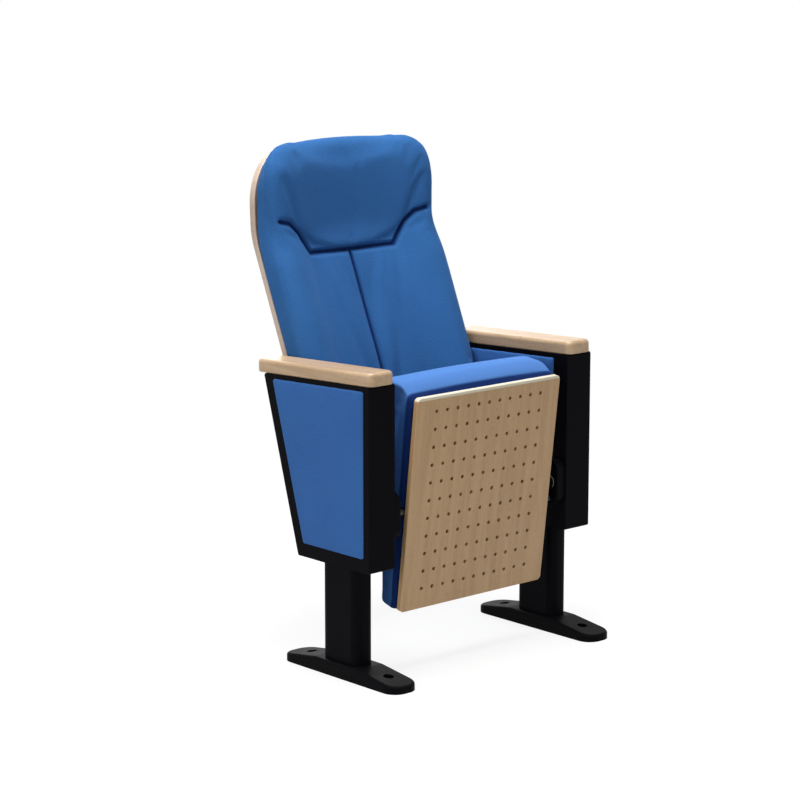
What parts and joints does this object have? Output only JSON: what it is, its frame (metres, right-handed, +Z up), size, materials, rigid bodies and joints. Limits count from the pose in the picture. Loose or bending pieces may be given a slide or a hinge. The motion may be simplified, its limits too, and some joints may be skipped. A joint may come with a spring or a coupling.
{
  "type": "tip up auditorium seat",
  "caption": "High-backed theatre seat with blue upholstery, wooden armrests and a perforated seat board, its seat tipped up between two steel standards on floor feet.",
  "frame": {"origin": "on the floor, in the middle of the four anchor holes of the two feet", "axes": "+Z up; -Y the way the sitter faces; +X towards the sitter's left"},
  "size_m": [0.634, 0.5927, 1.066],
  "materials": {
    "cast_feet": "satin black paint on cast iron",
    "black_steel": "fine-textured black powder coat",
    "hinge_black": "satin black paint on cast iron",
    "frame_steel": "black primer",
    "pin_steel": "ground, zinc plated",
    "spring_steel": "oiled spring strip",
    "fasteners": "zinc plated",
    "bush_plastic": "moulded, waxy",
    "clip_plastic": "moulded",
    "buffer_rubber": "matt moulded rubber",
    "panel_board": "raw fibreboard",
    "beech": "clear satin varnish on steamed beech",
    "shell_plywood": "clear satin varnish on moulded plywood",
    "liner_board": "blackened plywood",
    "board_plywood": "clear satin varnish on perforated plywood",
    "seat_cloth": "plain woven blue cloth",
    "back_cloth": "plain woven blue cloth",
    "webbing": "elastic webbing"
  },
  "bodies": {
    "stand": {"foot_left": "cast_feet", "foot_right": "cast_feet", "column_left": "black_steel", "column_right": "black_steel", "side_standard_left": "black_steel", "side_standard_right": "black_steel", "outer_pad_left": "seat_cloth", "outer_pad_right": "seat_cloth", "inner_pad_left": "seat_cloth", "inner_pad_right": "seat_cloth", "outer_panel_board_left": "panel_board", "outer_panel_board_right": "panel_board", "inner_panel_board_left": "panel_board", "inner_panel_board_right": "panel_board", "armrest_left": "beech", "armrest_right": "beech", "hinge_doubler_left": "black_steel", "hinge_doubler_right": "black_steel", "hinge_housing_left": "hinge_black", "hinge_housing_right": "hinge_black", "hinge_bush_left": "bush_plastic", "hinge_bush_right": "bush_plastic", "return_spring_left": "spring_steel", "return_spring_right": "spring_steel", "stop_buffers_left": "buffer_rubber", "stop_buffers_right": "buffer_rubber", "back_bracket_left": "black_steel", "back_bracket_right": "black_steel", "panel_clips": "clip_plastic", "armrest_screws": "fasteners", "hinge_screws": "fasteners", "bracket_bolts": "fasteners", "weld_nuts": "fasteners", "shell_bolts": "fasteners", "tee_nuts": "fasteners", "back_shell": "shell_plywood", "back_liner": "liner_board", "back_cushion": "back_cloth"},
    "seat": {"seat_board": "board_plywood", "seat_frame": "frame_steel", "seat_straps": "webbing", "board_screws": "fasteners", "seat_cushion": "seat_cloth", "hinge_pin_left": "pin_steel", "hinge_pin_right": "pin_steel", "pin_retainer_left": "pin_steel", "pin_retainer_right": "pin_steel", "stop_lever_left": "black_steel", "stop_lever_right": "black_steel"}
  },
  "joints": [
    {"name": "seat_tip", "type": "hinge", "parent": "stand", "child": "seat", "pos_m": [0, -0.069, 0.34], "axis": [1, 0, 0], "range_deg": [0, 82], "stiffness_Nm_per_rad": 1.6, "springref_deg": -29.79}
  ]
}
